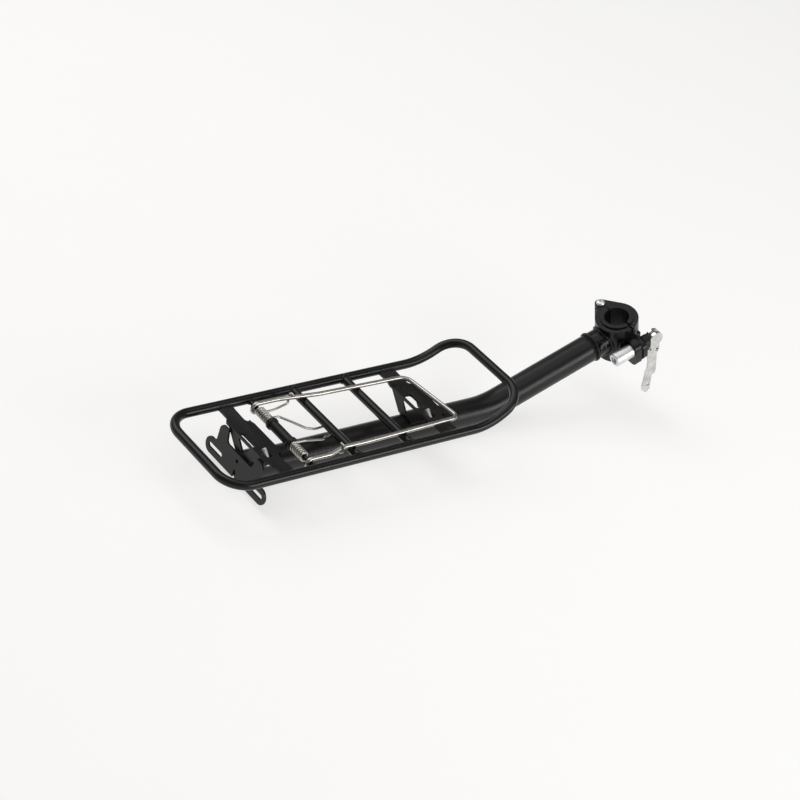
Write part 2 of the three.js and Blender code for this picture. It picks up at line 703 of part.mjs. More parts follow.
// Hinge bolt: a button head on top and a riveted end below.
function makeHingeBolt(group) {
  const centre = [HINGE_X, HINGE_Y, 0];
  const headProfile = [
    [0, 0],
    [4.95, 0],
    [4.95, 1],
    [3.9, 2.3],
    [2.4, 2.8],
    [0, 2.9],
  ].map(([r, z]) => new THREE.Vector2(r, z));
  const head = new THREE.LatheGeometry(headProfile, 24);
  head.rotateX(Math.PI / 2);
  head.translate(HINGE_X, HINGE_Y, COLLAR_TOP + GAP);
  const socket = bar("z", COLLAR_TOP + 1.6, COLLAR_TOP + 5, centre, 1.7, 6);
  const solid = cut(
    join(
      solidOf(head),
      bar("z", COLLAR_BOTTOM - 1.2, COLLAR_TOP + 0.5, centre, 3, 20),
      bar("z", COLLAR_BOTTOM - 2, COLLAR_BOTTOM - GAP, centre, 4.6, 20),
    ),
    socket,
  );
  piece(group, "hinge_bolt", solid, ZINC);
}

// ---- quick release ----
// Where the cam's centre is, seen from the washer, as the lever swings and the jaw comes after it.
function camPlaces() {
  const steps = 10;
  return Array.from({ length: steps + 1 }, (_, i) => {
    const angle = (LEVER_TRAVEL * i) / steps;
    const follow = JAW_RATIO * angle * (HINGE_Y - SKEWER_Y);
    return [PIN_X - CAM_THROW * Math.cos(angle) - follow, 0, -CAM_THROW * Math.sin(angle)];
  });
}

function makeQuickRelease(group) {
  const axis = [0, SKEWER_Y, 0];
  const eyeHalf = LEVER_FORK / 2 - 0.4;
  const skewer = cut(
    join(
      bar("x", NUT[0] + 6, PIN_X - 3, axis, SKEWER_RADIUS, 16),
      bar("y", SKEWER_Y - eyeHalf, SKEWER_Y + eyeHalf, [PIN_X, 0, 0], 5.4, 20),
    ),
    block([15, FAR], [SKEWER_Y + eyeHalf, 0], [-FAR, FAR]),
    block([15, FAR], [-FAR, SKEWER_Y - eyeHalf], [-FAR, FAR]),
    bar("y", -FAR, 0, [PIN_X, 0, 0], PIN_RADIUS + GAP, 20),
  );
  piece(group, "skewer", skewer, ZINC);

  const nut = join(
    bar("x", NUT[0] + 1, NUT[1], axis, NUT_RADIUS, 28),
    bar("x", NUT[0], NUT[0] + 1, axis, NUT_RADIUS - 0.9, 28, NUT_RADIUS),
  );
  const nutBore = bar("x", NUT[0] - 1, FAR, axis, SKEWER_RADIUS + GAP, 20);
  const mouth = bar("x", NUT[0] - 1, NUT[0] + 2, axis, 4.4, 24);
  piece(group, "adjusting_nut", cut(nut, nutBore, mouth), ZINC);

  const washerFront = 18.2;
  const washerFoot = -7.4;
  const washer = cut(
    bar("x", MOVING_EAR.x[1] + GAP, washerFront, axis, 8, 32),
    ...camPlaces().map((centre) => bar("y", -FAR, 0, centre, CAM_RADIUS + GAP, 40)),
    bar("x", 0, 30, axis, SKEWER_RADIUS + 0.8, 20),
    block([0, FAR], [-FAR, FAR], [-FAR, washerFoot]),
  );
  piece(group, "cam_washer", washer, BLACK_PLASTIC);

  const half = LEVER_WIDTH / 2;
  piece(
    group,
    "cam_pin",
    bar("y", SKEWER_Y - half + 0.2, SKEWER_Y + half - 0.2, [PIN_X, 0, 0], PIN_RADIUS, 20),
    CHROME,
  );
  piece(group, "cam_lever", leverSolid(), CHROME);
}

// The lever hangs from its forked cam: a flat arm with two holes in its neck, a slanting step below
// which it is thinner, and a three-cornered hole near the tip.
function leverSolid() {
  const half = LEVER_WIDTH / 2;
  const near = SKEWER_Y - half;
  const face = near + 0.4;
  const arm = outline([
    [30.5, -4, 2],
    [31.2, -16, 5],
    [27.4, -25, 8],
    [26.8, -38, 8],
    [26.2, -48, 3],
    [24.8, -51.6, 1.5],
    [21.4, -56, 1.5],
    [20.3, -63, 6],
    [18.8, -74, 3],
    [13.6, -78.4, 2.5],
    [7.8, -71.5, 3],
    [7.8, -64.5, 4],
    [10.4, -56.5, 8],
    [12.4, -45.5, 3],
    [15.2, -40.5, 4],
    [16.2, -31, 10],
    [15.3, -10.8, 1.5],
    [18.3, -8.3, 1],
    [20, -4],
  ]);
  const belowStep = outline([
    [-10, -18.2],
    [35, -65.6],
    [35, -95],
    [-10, -95],
  ]);
  const tipHole = outline([
    [12.7, -67.1, 0.9],
    [17.2, -69.5, 0.9],
    [17.5, -60.2, 0.7],
  ]);
  return cut(
    join(
      bar("y", near - 1, SKEWER_Y + half, [CAM_X, 0, 0], CAM_RADIUS, 36),
      slab("y", arm, face, face + 3.2, 4),
    ),
    bar("y", near - 0.4, 0, [PIN_X, 0, 0], PIN_RADIUS + GAP, 20),
    block([5, FAR], [SKEWER_Y - LEVER_FORK / 2, SKEWER_Y + LEVER_FORK / 2], [-6.4, 20]),
    slab("y", belowStep, face - 1, face + 1.2),
    slab("y", tipHole, face - 1, face + 5),
    bar("y", face - 1, face + 5, [18, 0, -12], 1.6, 16),
    bar("y", face - 1, face + 5, [27.2, 0, -17.2], 2.1, 16),
  );
}

// ---- assembly ----
const boreCentre = new THREE.Vector3(
  INCLINE_ZERO_X + BORE_REACH * Math.cos(INCLINE),
  0,
  BORE_REACH * Math.sin(INCLINE),
);

const platform = new THREE.Group();
platform.position.copy(boreCentre).negate();
makePlatform(platform);
makeBracket(platform, "rear");
makeBracket(platform, "front");
makeBeam(platform);
makeReflectorPlate(platform);
makeAxle(platform);
makeClip(platform);
makeSprings(platform);

const clamp = new THREE.Group();
clamp.rotation.y = -INCLINE;
makeClampBody(clamp);
makeJaw(clamp);
makeLiners(clamp);
makeHingeBolt(clamp);
makeQuickRelease(clamp);

const group = new THREE.Group();
group.add(platform, clamp);
export default group;
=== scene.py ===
import json
import math

import bpy
from mathutils import Matrix, Vector, noise


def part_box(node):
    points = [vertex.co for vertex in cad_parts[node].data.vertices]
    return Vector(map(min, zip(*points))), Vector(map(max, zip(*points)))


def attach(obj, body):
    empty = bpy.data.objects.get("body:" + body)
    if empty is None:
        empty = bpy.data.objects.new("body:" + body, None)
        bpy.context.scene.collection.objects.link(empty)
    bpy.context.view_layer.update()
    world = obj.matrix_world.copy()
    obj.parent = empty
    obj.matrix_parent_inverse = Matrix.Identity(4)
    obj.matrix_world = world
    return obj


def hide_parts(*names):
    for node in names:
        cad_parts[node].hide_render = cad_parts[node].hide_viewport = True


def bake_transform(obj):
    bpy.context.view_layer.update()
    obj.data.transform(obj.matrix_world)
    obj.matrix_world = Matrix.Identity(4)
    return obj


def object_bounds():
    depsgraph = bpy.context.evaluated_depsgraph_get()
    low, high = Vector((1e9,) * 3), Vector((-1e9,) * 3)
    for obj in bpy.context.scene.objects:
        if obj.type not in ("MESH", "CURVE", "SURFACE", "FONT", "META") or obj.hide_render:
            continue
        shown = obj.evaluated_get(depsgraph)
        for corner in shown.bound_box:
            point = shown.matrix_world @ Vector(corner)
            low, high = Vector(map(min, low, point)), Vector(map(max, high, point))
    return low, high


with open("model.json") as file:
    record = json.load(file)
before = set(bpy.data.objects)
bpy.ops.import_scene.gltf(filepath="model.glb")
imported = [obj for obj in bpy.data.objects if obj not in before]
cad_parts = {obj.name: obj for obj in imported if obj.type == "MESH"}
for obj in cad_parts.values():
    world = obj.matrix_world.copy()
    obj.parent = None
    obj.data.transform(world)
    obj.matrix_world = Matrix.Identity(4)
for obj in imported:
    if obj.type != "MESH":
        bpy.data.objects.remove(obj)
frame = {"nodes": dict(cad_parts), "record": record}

cad_low, cad_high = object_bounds()

# ---- the two frames that the rack is built in, both in millimetres ----
MM = 0.001
ROD_RADIUS = 5.0
loop_low, loop_high = (Vector(corner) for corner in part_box("platform_loop"))
post_axis = Vector(frame["record"]["mounts"][0]["axis"]).normalized()


def middle(node):
    low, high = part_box(node)
    return (Vector(low) + Vector(high)) / 2


PLATFORM_ZERO = Vector((loop_low.x + ROD_RADIUS * MM, 0, middle("crossbar_rear").z))


def on_platform(x, y, z):
    """A point from the rear bar's middle: x forward, y left, z up from the rails' plane."""
    return PLATFORM_ZERO + Vector((x, y, z)) * MM


def on_clamp(x, y, z):
    """A point from the bore's middle: x along the climbing beam, z up the seatpost."""
    along = Vector((post_axis.z, 0, -post_axis.x))
    return (along * x + Vector((0, 1, 0)) * y + post_axis * z) * MM


def platform_x(node):
    return (middle(node).x - PLATFORM_ZERO.x) / MM


# ---- sizes ----
RAIL_Y = loop_high.y / MM - ROD_RADIUS
REAR_CORNER = 27
HOOP_START = 323
HOOP_BEND = 70
HOOP_CORNER = 28
HOOP_NARROWING = 2.9
HOOP_BAR_X = (loop_high.x - PLATFORM_ZERO.x) / MM - ROD_RADIUS
HOOP_BAR_Z = (loop_high.z - PLATFORM_ZERO.z) / MM - ROD_RADIUS
CROSSBAR_RADIUS = 4.7
AXLE_X = platform_x("clip_axle")
AXLE_RADIUS = 2.5
SLEEVE_HALF = 19.4
SLEEVE_RADIUS = 5.5
COLLAR_RADIUS = 6.7
COLLAR_LENGTH = 4.5
CLIP_RADIUS = 2.35
CLIP_EYE = 5.25
CLIP_REST_Z = CROSSBAR_RADIUS + CLIP_RADIUS + 0.1
SPRING_WIRE = 1.25
SPRING_RADIUS = 4.2
SPRING_TURNS = 6.5
COIL_INNER_Y = 21.4
COIL_OUTER_Y = 40.6
BEAM_RADIUS = 15.3
BEAM_WALL = 2.0
BEAM_Z = -32.8
BEAM_REAR_X = 56.5
BEAM_BEND = 95
BEAM_END_X = -37.5  # in the clamp's frame
INCLINE = math.atan2(-post_axis.x, post_axis.z)
SADDLE_TOP = BEAM_RADIUS + 2.3
CLAMP_RADIUS = 24.0


# ---- mesh building ----
END_CHAMFER = 0.16  # of a rod's radius


def new_object(name, verts, faces):
    mesh = bpy.data.meshes.new(name)
    mesh.from_pydata([tuple(v) for v in verts], [], faces)
    mesh.validate()
    mesh.shade_smooth()
    obj = bpy.data.objects.new(name, mesh)
    bpy.context.scene.collection.objects.link(obj)
    return obj


def ring_faces(count, sides, closed):
    """Quads between count rings of sides points, which close on themselves or get two end caps."""
    faces = []
    for i in range(count if closed else count - 1):
        a, b = i * sides, ((i + 1) % count) * sides
        for k in range(sides):
            n = (k + 1) % sides
            faces.append((a + k, a + n, b + n, b + k))
    if not closed:
        faces.append(tuple(reversed(range(sides))))
        faces.append(tuple(range((count - 1) * sides, count * sides)))
    return faces


def circle(count):
    """Angles evenly spaced round a full turn."""
    return [2 * math.pi * k / count for k in range(count)]


def fillet(corners, closed=False, step=math.radians(5)):
    """Points along straight stretches joined by arcs. A corner is (point, bend radius in mm)."""
    count = len(corners)
    points = [] if closed else [corners[0][0]]
    for i in range(0 if closed else 1, count if closed else count - 1):
        here, radius = corners[i]
        back = (corners[i - 1][0] - here).normalized()
        ahead = (corners[(i + 1) % count][0] - here).normalized()
        turn = math.pi - back.angle(ahead)
        if turn < 1e-4 or radius == 0:
            points.append(here)
            continue
        reach = radius * MM
        centre = here + (back + ahead).normalized() * (reach / math.cos(turn / 2))
        spoke = here + back * (reach * math.tan(turn / 2)) - centre
        steps = max(2, math.ceil(turn / step))
        for k in range(steps + 1):
            angle = turn * k / steps
            points.append(centre + spoke * math.cos(angle) - back * (reach * math.sin(angle)))
    if not closed:
        points.append(corners[-1][0])
    return points


def divided(points, spacing, closed=False):
    """The same line with extra points, so that no stretch is longer than spacing."""
    result = []
    pairs = zip(points, points[1:] + points[:1] if closed else points[1:])
    for a, b in pairs:
        parts = max(1, math.ceil((b - a).length / spacing))
        result += [a.lerp(b, k / parts) for k in range(parts)]
    return result if closed else result + [points[-1]]


def frames_along(points, closed):
    """(point, normal, binormal) at each point, carried along without twisting."""
    count = len(points)
    tangents = []
    for i, point in enumerate(points):
        after = points[(i + 1) % count] if closed or i < count - 1 else point
        before = points[i - 1] if closed or i > 0 else point
        tangents.append((after - before).normalized())
    normal = tangents[0].orthogonal().normalized()
    normals = [normal]
    for a, b in zip(tangents, tangents[1:]):
        normal = a.rotation_difference(b) @ normal
        normals.append((normal - b * normal.dot(b)).normalized())
    if closed:
        back = tangents[-1].rotation_difference(tangents[0]) @ normals[-1]
        slip = math.atan2(tangents[0].dot(back.cross(normals[0])), back.dot(normals[0]))
        pairs = enumerate(zip(tangents, normals))
        normals = [Matrix.Rotation(slip * i / count, 3, t) @ n for i, (t, n) in pairs]
    return [(p, n, t.cross(n)) for p, n, t in zip(points, normals, tangents)]


def sweep(name, points, radius, closed=False, sides=24, radius_at=None):
    """A round rod along points. Its cut ends are chamfered; radius_at(i) gives a changing radius."""
    frames = frames_along(points, closed)
    rings = []
    for i, (point, normal, binormal) in enumerate(frames):
        r = (radius_at(i) if radius_at else radius) * MM
        rings.append([
            point + (normal * math.cos(a) + binormal * math.sin(a)) * r for a in circle(sides)
        ])
    if not closed:
        chamfer = END_CHAMFER * radius * MM
        for end, step in ((0, 1), (-1, -1)):
            point = points[end]
            inward = (points[end + step] - point).normalized() * chamfer
            full = [v + inward for v in rings[end]]
            small = [point + (v - point) * (1 - END_CHAMFER) for v in rings[end]]
            rings[end] = small
            rings.insert(1 if end == 0 else len(rings) - 1, full)
    verts = [v for ring in rings for v in ring]
    return new_object(name, verts, ring_faces(len(rings), sides, closed))


def turned(name, profile, start, direction, sides=40, closed=False):
    """A lathe piece from (mm along, radius mm) points. closed joins the last point to the first."""
    direction = direction.normalized()
    side = direction.orthogonal().normalized()
    other = direction.cross(side)
    verts = []
    for along, radius in profile:
        for a in circle(sides):
            spoke = (side * math.cos(a) + other * math.sin(a)) * radius * MM
            verts.append(start + direction * along * MM + spoke)
    return new_object(name, verts, ring_faces(len(profile), sides, closed))


def crisp(obj, width, segments=2, angle=32):
    """Rounds an object's hard edges with modifiers; the mesh itself stays as it is."""
    weld = obj.modifiers.new("merge", "WELD")
    weld.merge_threshold = 2e-6
    flat = obj.modifiers.new("flat", "DECIMATE")
    flat.decimate_type = "DISSOLVE"
    flat.angle_limit = math.radians(0.5)
    bevel = obj.modifiers.new("edges", "BEVEL")
    bevel.limit_method = "ANGLE"
    bevel.angle_limit = math.radians(angle)
    bevel.width = width * MM
    bevel.segments = segments
    bevel.use_clamp_overlap = True
    obj.data.shade_smooth()
    weighted = obj.modifiers.new("normals", "WEIGHTED_NORMAL")
    weighted.mode = "FACE_AREA"
    weighted.weight = 80


def bead(name, points, radius, closed=False, pitch=1.5):
    """A weld bead: overlapping ripples along a line, a little uneven in width."""
    line = divided(points, pitch * MM / 5, closed)

    def width(i):
        ripple = 0.12 * abs(math.sin(math.pi * i / 5))
        lump = 0.16 * noise.noise(line[i] * 420)
        fade = 1 if closed else min(1, 0.35 + min(i, len(line) - 1 - i) / 6)
        return radius * (0.92 + ripple + lump) * fade

    return sweep(name, line, radius, closed, sides=12, radius_at=width)


# ---- materials ----
def node_tree(name):
    material = bpy.data.materials.new(name)
    material.use_nodes = True
    nodes = material.node_tree.nodes
    nodes.clear()
    output = nodes.new("ShaderNodeOutputMaterial")
    shader = nodes.new("ShaderNodeBsdfPrincipled")
    material.node_tree.links.new(shader.outputs["BSDF"], output.inputs["Surface"])
    return material, nodes, material.node_tree.links, shader


def scaled_place(nodes, links, stretch):
    place = nodes.new("ShaderNodeTexCoord")
    mapping = nodes.new("ShaderNodeMapping")
    mapping.inputs["Scale"].default_value = stretch
    links.new(place.outputs["Object"], mapping.inputs["Vector"])
    return mapping.outputs["Vector"]


def noise_of(nodes, links, place, scale, detail=3, roughness=0.55):
    texture = nodes.new("ShaderNodeTexNoise")
    texture.inputs["Scale"].default_value = scale
    texture.inputs["Detail"].default_value = detail
    texture.inputs["Roughness"].default_value = roughness
    links.new(place, texture.inputs["Vector"])
    return texture.outputs["Fac"]


def ranged(nodes, links, value, low, high, to_low, to_high):
    change = nodes.new("ShaderNodeMapRange")
    for socket, number in zip(("From Min", "From Max", "To Min", "To Max"), (low, high, to_low, to_high)):
        change.inputs[socket].default_value = number
    links.new(value, change.inputs["Value"])
    return change.outputs["Result"]


def mixed(nodes, links, factor, first, second):
    mix = nodes.new("ShaderNodeMix")
    mix.data_type = "RGBA"
    links.new(factor, mix.inputs["Factor"])
    for socket, colour in ((mix.inputs[6], first), (mix.inputs[7], second)):
        if isinstance(colour, tuple):
            socket.default_value = (*colour, 1)
        else:
            links.new(colour, socket)
    return mix.outputs[2]


def bumped(nodes, links, heights):
    """A normal from [(height, strength, distance in mm)], one bump after another."""
    normal = None
    for height, strength, distance in heights:
        bump = nodes.new("ShaderNodeBump")
        bump.inputs["Strength"].default_value = strength
        bump.inputs["Distance"].default_value = distance * MM
        links.new(height, bump.inputs["Height"])
        if normal:
            links.new(normal, bump.inputs["Normal"])
        normal = bump.outputs["Normal"]
    return normal


def worn_edges(nodes, links, low, high):
    """1 on sharp outer edges, broken up by a fine noise."""
    geometry = nodes.new("ShaderNodeNewGeometry")
    edge = ranged(nodes, links, geometry.outputs["Pointiness"], low, high, 0, 1)
    place = scaled_place(nodes, links, (1, 1, 1))
    broken = ranged(nodes, links, noise_of(nodes, links, place, 650), 0.45, 0.62, 0, 1)
    product = nodes.new("ShaderNodeMath")
    product.operation = "MULTIPLY"
    links.new(edge, product.inputs[0])
    links.new(broken, product.inputs[1])
    return product.outputs["Value"]


def coated(name, colour, dust, roughness, peel, grain):
    """Black powder coat or moulding: orange peel, faint dust, uneven gloss and rubbed edges."""
    material, nodes, links, shader = node_tree(name)
    place = scaled_place(nodes, links, (1, 1, 1))
    cloud = noise_of(nodes, links, place, 26, 5, 0.6)
    speck = noise_of(nodes, links, place, 900, 2)
    dusty = mixed(nodes, links, ranged(nodes, links, cloud, 0.4, 0.72, 0, 1), colour, dust)
    worn = mixed(nodes, links, worn_edges(nodes, links, 0.53, 0.62), dusty, tuple(c * 3.2 for c in dust))
    links.new(worn, shader.inputs["Base Color"])
    low, high = roughness
    links.new(ranged(nodes, links, cloud, 0.3, 0.7, low, high), shader.inputs["Roughness"])
    waves = noise_of(nodes, links, place, 420, 2)
    links.new(bumped(nodes, links, [(waves, peel, 0.25), (speck, grain, 0.12)]), shader.inputs["Normal"])
    shader.inputs["Specular IOR Level"].default_value = 0.28
    return material


def metal(name, colour, tint, roughness, stretch, scratch, mottle_scale):
    """Bare or plated metal: streaks, tint clouds and fine scratches."""
    material, nodes, links, shader = node_tree(name)
    streak_place = scaled_place(nodes, links, stretch)
    place = scaled_place(nodes, links, (1, 1, 1))
    streaks = noise_of(nodes, links, streak_place, 1, 4, 0.65)
    clouds = noise_of(nodes, links, place, mottle_scale, 4)
    base = mixed(nodes, links, ranged(nodes, links, clouds, 0.35, 0.68, 0, 1), colour, tint)
    links.new(base, shader.inputs["Base Color"])
    low, high = roughness
    both = nodes.new("ShaderNodeMath")
    both.operation = "ADD"
    links.new(streaks, both.inputs[0])
    links.new(clouds, both.inputs[1])
    links.new(ranged(nodes, links, both.outputs["Value"], 0.7, 1.3, low, high), shader.inputs["Roughness"])
    fine = noise_of(nodes, links, place, 1500, 2)
    normal = bumped(nodes, links, [(streaks, scratch, 0.06), (fine, scratch * 0.6, 0.03)])
    links.new(normal, shader.inputs["Normal"])
    shader.inputs["Metallic"].default_value = 1.0
    return material


MATERIALS = {
    "black_rod": coated(
        "satin_black_rod", (0.005, 0.0049, 0.0047), (0.009, 0.0088, 0.0085), (0.2, 0.3), 0.1, 0.1
    ),
    "black_tube": coated(
        "satin_black_tube", (0.007, 0.0067, 0.0064), (0.013, 0.0125, 0.012), (0.28, 0.4), 0.12, 0.14
    ),
    "black_sheet": coated(
        "satin_black_sheet", (0.006, 0.0059, 0.0057), (0.011, 0.0107, 0.0104), (0.28, 0.4), 0.12, 0.12
    ),
    "black_cast": coated(
        "matt_black_cast", (0.003, 0.003, 0.003), (0.006, 0.0059, 0.0058), (0.2, 0.36), 0.5, 0.35
    ),
    "black_plastic": coated(
        "black_moulding", (0.004, 0.004, 0.004), (0.007, 0.007, 0.007), (0.36, 0.5), 0.08, 0.2
    ),
    "stainless": metal(
        "drawn_stainless", (0.5, 0.485, 0.455), (0.42, 0.4, 0.365), (0.24, 0.34), (60, 500, 500), 0.05, 45
    ),
    "zinc": metal(
        "bright_zinc", (0.8, 0.8, 0.79), (0.62, 0.63, 0.64), (0.34, 0.5), (500, 500, 500), 0.25, 380
    ),
    "chrome": metal(
        "polished_chrome", (0.7, 0.695, 0.68), (0.5, 0.49, 0.48), (0.12, 0.26), (300, 900, 120), 0.05, 130
    ),
}


def place_piece(obj, body, slot, *nodes):
    obj.data.materials.append(MATERIALS[slot])
    if body:
        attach(obj, body)
    if nodes:
        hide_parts(*nodes)
    return obj


# ---- platform ----
def make_loop():
    corners = [
        (on_platform(0, RAIL_Y, 0), REAR_CORNER),
        (on_platform(HOOP_START, RAIL_Y, 0), HOOP_BEND),
        (on_platform(HOOP_BAR_X, RAIL_Y - HOOP_NARROWING, HOOP_BAR_Z), HOOP_CORNER),
        (on_platform(HOOP_BAR_X, HOOP_NARROWING - RAIL_Y, HOOP_BAR_Z), HOOP_CORNER),
        (on_platform(HOOP_START, -RAIL_Y, 0), HOOP_BEND),
        (on_platform(0, -RAIL_Y, 0), REAR_CORNER),
    ]
    points = divided(fillet(corners, closed=True), 6 * MM, closed=True)
    loop = sweep("loop_rod", points, ROD_RADIUS, closed=True, sides=32)
    place_piece(loop, "rack", "black_rod", "platform_loop")


def rail_depth(offset):
    """How far from the middle the rail's inner surface is, at a height offset from its centre-line."""
    return RAIL_Y - math.sqrt(ROD_RADIUS**2 - offset**2)


def make_cross_rod(name, node, radius):
    """A rod coped into both rails, with a weld bead round each end."""
    x = platform_x(node)
    half = RAIL_Y - 1.5
    points = divided([on_platform(x, -half, 0), on_platform(x, half, 0)], 4 * MM)
    place_piece(sweep(name, points, radius, sides=28), "rack", "black_rod", node)
    for side, word in ((1, "left"), (-1, "right")):
        ring = []
        reach = radius + 0.25
        for a in circle(24):
            height = reach * math.sin(a)
            depth = rail_depth(min(abs(height), ROD_RADIUS - 0.15)) - 0.25
            ring.append(on_platform(x + reach * math.cos(a), side * depth, height))
        place_piece(bead(f"weld_{name}_{word}", ring, 1.05, closed=True), "rack", "black_rod")


BRACKET_WELD_REAR = {"rear": 5.6, "front": 2.9}  # from the bracket's edges to the bead's ends
BRACKET_WELD_FRONT = 6.4
PLATE_HALF = 1.9


def make_bracket_welds(end):
    """Beads along the plate's edges on the rails, and under the V feet on the saddle."""
    low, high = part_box(f"{end}_bracket")
    x0 = (low[0] - PLATFORM_ZERO.x) / MM
    x1 = (high[0] - PLATFORM_ZERO.x) / MM
    rear, front = x0 + BRACKET_WELD_REAR[end], x1 - BRACKET_WELD_FRONT
    for side, word in ((1, "left"), (-1, "right")):
        for level, place in ((PLATE_HALF, "top"), (-PLATE_HALF, "under")):
            y = side * (rail_depth(PLATE_HALF) - 0.1)
            line = [on_platform(rear, y, level), on_platform(front, y, level)]
            place_piece(bead(f"weld_{end}_{word}_{place}", line, 0.95), "rack", "black_sheet")
    for x, word in ((x0 + 1, "rear"), (x1 - 1, "front")):
        reach = SADDLE_TOP + 0.15
        arc = [
            on_platform(x, reach * math.sin(a), BEAM_Z + reach * math.cos(a))
            for a in (math.radians(-29 + 58 * k / 12) for k in range(13))
        ]
        place_piece(bead(f"weld_{end}_foot_{word}", arc, 1.25), "rack", "black_sheet")


# ---- beam ----
def beam_line():
    climb = Vector((math.cos(INCLINE), 0, math.sin(INCLINE)))
    end = on_clamp(BEAM_END_X, 0, 0)
    level = PLATFORM_ZERO.z + BEAM_Z * MM
    corner = end - climb * ((end.z - level) / climb.z)
    start = on_platform(BEAM_REAR_X, 0, BEAM_Z)
    return divided(fillet([(start, 0), (corner, BEAM_BEND), (end, 0)], step=math.radians(2)), 8 * MM)


def make_beam():
    points = beam_line()
    frames = frames_along(points, False)
    sides = 56
    edge = 0.35
    rings = [(frames[0], BEAM_RADIUS - edge, 0), (frames[0], BEAM_RADIUS, edge)]
    rings += [(f, BEAM_RADIUS, 0) for f in frames[1:]]
    rings += [(f, BEAM_RADIUS - BEAM_WALL, 0) for f in reversed(frames[1:])]
    rings += [(frames[0], BEAM_RADIUS - BEAM_WALL, edge), (frames[0], BEAM_RADIUS - BEAM_WALL + edge, 0)]
    forward = (points[1] - points[0]).normalized()
    verts = []
    for (point, normal, binormal), radius, inset in rings:
        for a in circle(sides):
            spoke = (normal * math.cos(a) + binormal * math.sin(a)) * radius * MM
            verts.append(point + forward * inset * MM + spoke)
    beam = new_object("beam", verts, ring_faces(len(rings), sides, closed=True))
    place_piece(beam, "rack", "black_tube", "beam_tube")
    reach = BEAM_RADIUS + 0.35
    ring = [
        on_clamp(BEAM_END_X + 0.2, reach * math.cos(a), reach * math.sin(a))
        for a in circle(48)
    ]
    place_piece(bead("weld_beam_clamp", ring, 1.5, closed=True, pitch=2.2), "rack", "black_tube")
    seam = []
    for a in circle(64):
        y, z = (BEAM_RADIUS + 0.5) * math.cos(a), (BEAM_RADIUS + 0.5) * math.sin(a)
        seam.append(on_clamp(-math.sqrt((CLAMP_RADIUS + 0.4) ** 2 - y * y), y, z))
    place_piece(bead("weld_root_collar", seam, 1.7, closed=True, pitch=2.4), "rack", "black_cast")


# ---- spring clip ----
FRONT_LEFT = (281.4, 33.7, 12)  # each front corner's x, y and bend radius
FRONT_RIGHT = (291.6, -45.2, 7)


def clip_arm(eye_y, bend_y, cross_y, front):
    """One side of the wire: tail, half a turn round the axle, then forward to the front corner."""
    middle_x = (FRONT_LEFT[0] + FRONT_RIGHT[0]) / 2
    middle_y = (FRONT_LEFT[1] + FRONT_RIGHT[1]) / 2
    points = [on_platform(AXLE_X + 6, eye_y, -CLIP_EYE)]
    turns = 20
    for i in range(turns + 1):
        a = math.pi * i / turns
        points.append(on_platform(AXLE_X - CLIP_EYE * math.sin(a), eye_y, -CLIP_EYE * math.cos(a)))
    corners = [
        (on_platform(AXLE_X, eye_y, CLIP_EYE), 0),
        (on_platform(AXLE_X + 23, eye_y, CLIP_EYE), 14),
        (on_platform(AXLE_X + 40, bend_y, CLIP_REST_Z), 20),
        (on_platform(platform_x("crossbar_rear") + 16, cross_y, CLIP_REST_Z), 60),
        (on_platform(front[0], front[1], CLIP_REST_Z), front[2]),
        (on_platform(middle_x, middle_y, CLIP_REST_Z), 0),
    ]
    return points + fillet(corners)[1:]


def make_clip():
    left = clip_arm(45.3, 41, 37.3, FRONT_LEFT)
    right = clip_arm(-51.6, -47.8, -48.2, FRONT_RIGHT)
    points = divided(left + right[-2::-1], 4 * MM)
    place_piece(sweep("clip", points, CLIP_RADIUS, sides=22), "clip", "stainless", "clip_wire")


def make_sleeve():
    bore = AXLE_RADIUS + 0.3
    half = [
        (0, COLLAR_RADIUS - 0.6),
        (0.6, COLLAR_RADIUS),
        (COLLAR_LENGTH - 0.6, COLLAR_RADIUS),
        (COLLAR_LENGTH, COLLAR_RADIUS - 0.5),
        (COLLAR_LENGTH + 0.3, SLEEVE_RADIUS + 0.1),
        (COLLAR_LENGTH + 1, SLEEVE_RADIUS),
    ]
    length = 2 * SLEEVE_HALF
    other_half = [(length - along, radius) for along, radius in reversed(half)]
    profile = [(0, bore)] + half + other_half + [(length, bore)]
    start = on_platform(AXLE_X, -SLEEVE_HALF, 0)
    sleeve = turned("sleeve", profile, start, Vector((0, 1, 0)), closed=True)
    place_piece(sleeve, "rack", "black_plastic", "clip_sleeve")


def spring_line(side, inner_leg, arm_y):
    """A torsion spring: leg under the rear crossbar, turns round the axle, leg under the arm and over it."""
    count = round(SPRING_TURNS * 24)
    pitch = (COIL_OUTER_Y - COIL_INNER_Y) / SPRING_TURNS
    coil = []
    for i in range(count + 1):
        turn = SPRING_TURNS * i / count
        a = math.pi + 2 * math.pi * turn
        y = side * (COIL_INNER_Y + pitch * turn)
        coil.append(on_platform(AXLE_X + SPRING_RADIUS * math.sin(a), y, -SPRING_RADIUS * math.cos(a)))
    wrap = CLIP_RADIUS + SPRING_WIRE + 0.1
    hook = AXLE_X + 38
    under, over = CLIP_REST_Z - wrap, CLIP_REST_Z + wrap
    inward = [(on_platform(*p[:3]), p[3]) for p in inner_leg]
    inward.append((on_platform(AXLE_X, side * COIL_INNER_Y, SPRING_RADIUS), 0))
    outward = [
        (on_platform(AXLE_X, side * COIL_OUTER_Y, -SPRING_RADIUS), 0),
        (on_platform(AXLE_X + 20, side * (COIL_OUTER_Y + 1), -SPRING_RADIUS), 12),
        (on_platform(hook - 4, arm_y - side * 2.4, under - 0.6), 4),
        (on_platform(hook, arm_y + side * wrap, under), 2.6),
        (on_platform(hook + 1, arm_y + side * wrap, over), 2.6),
        (on_platform(hook + 1, arm_y - side * (wrap - 0.6), over), 0),
    ]
    return fillet(inward)[:-1] + coil + fillet(outward)[1:]


